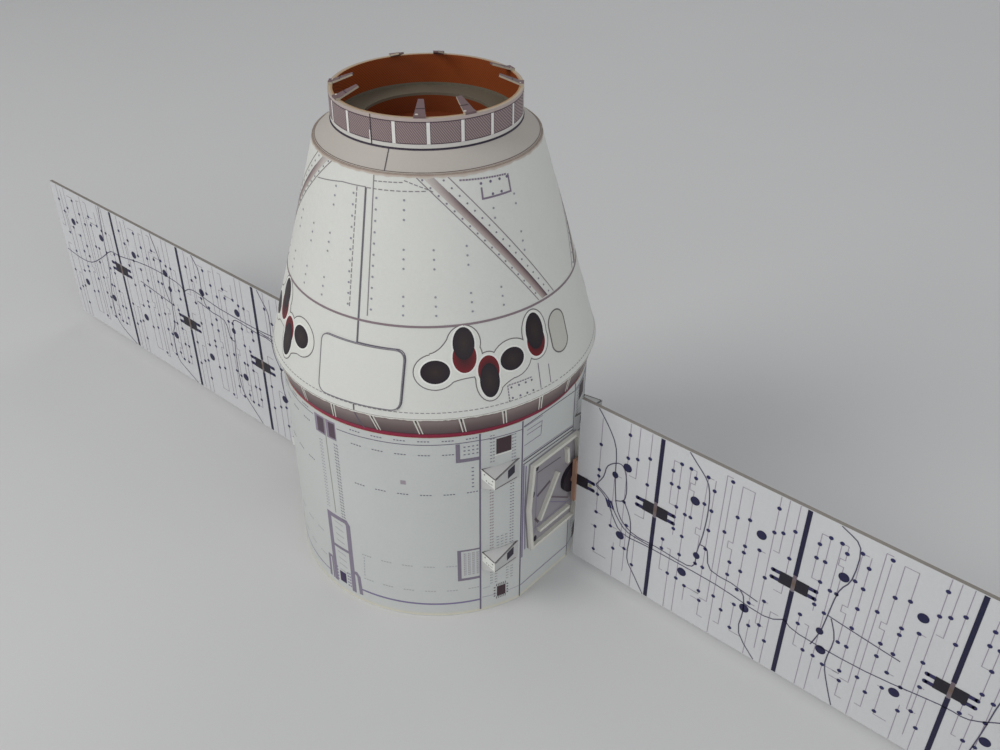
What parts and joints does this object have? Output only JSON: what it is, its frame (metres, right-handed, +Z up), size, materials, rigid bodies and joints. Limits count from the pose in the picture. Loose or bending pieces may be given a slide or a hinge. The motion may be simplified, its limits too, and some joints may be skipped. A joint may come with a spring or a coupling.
{
  "type": "card model of a cargo space capsule",
  "caption": "Printed card model of a conical cargo space capsule on a round trunk, with two flat solar wings that swivel on card pins.",
  "frame": {"origin": "centre of the trunk's foot, on the table", "axes": "+X along the right solar wing, +Z up through the docking collar, -Y towards the side with the bay door"},
  "size_m": [0.3474, 0.0804, 0.1282],
  "materials": {
    "trunk_card": "matte printed card",
    "plain_card": "matte printed card",
    "band_card": "matte printed card",
    "capsule_card": "matte printed card",
    "shoulder_card": "matte printed card",
    "collar_card": "matte printed card",
    "liner_card": "matte printed card",
    "ledge_card": "matte printed card",
    "petal_card": "matte printed card",
    "mount_card": "matte printed card",
    "dark_card": "matte printed card",
    "cell_card": "matte printed card",
    "panel_card": "matte printed card",
    "peach_card": "matte printed card"
  },
  "bodies": {
    "capsule": {"trunk_wall": "trunk_card", "trunk_former": "trunk_card", "heat_shield": "plain_card", "bevel_band": "band_card", "capsule_wall": "capsule_card", "bay_door": "capsule_card", "shoulder": "shoulder_card", "collar": "collar_card", "collar_liner": "liner_card", "tunnel_ledge": "ledge_card", "tunnel_well": "liner_card", "tunnel_hatch": "liner_card", "guide_petal_1": "petal_card", "guide_petal_2": "petal_card", "guide_petal_3": "petal_card", "guide_petal_4": "petal_card", "guide_petal_5": "petal_card", "guide_petal_6": "petal_card", "guide_petal_7": "petal_card", "guide_petal_8": "petal_card", "wedge_right_front_upper": "mount_card", "wedge_right_front_lower": "mount_card", "wedge_right_back_upper": "mount_card", "wedge_right_back_lower": "mount_card", "wedge_left_front_upper": "mount_card", "wedge_left_front_lower": "mount_card", "wedge_left_back_upper": "mount_card", "wedge_left_back_lower": "mount_card", "mount_plate_right": "mount_card", "mount_rim_right": "mount_card", "mount_ribs_right": "mount_card", "hub_disc_right": "dark_card", "mount_plate_left": "mount_card", "mount_rim_left": "mount_card", "mount_ribs_left": "mount_card", "hub_disc_left": "dark_card"},
    "right_wing": {"cell_sheet_right": "cell_card", "back_sheet_right": "panel_card", "wing_root_right": "peach_card"},
    "left_wing": {"cell_sheet_left": "cell_card", "back_sheet_left": "panel_card", "wing_root_left": "peach_card"}
  },
  "joints": [
    {"name": "right_wing_swivel", "type": "hinge", "parent": "capsule", "child": "right_wing", "pos_m": [0.0401, 0.0093, 0.0296], "axis": [1, 0, 0], "continuous": true},
    {"name": "left_wing_swivel", "type": "hinge", "parent": "capsule", "child": "left_wing", "pos_m": [-0.0401, -0.0093, 0.0296], "axis": [1, 0, 0], "continuous": true}
  ]
}
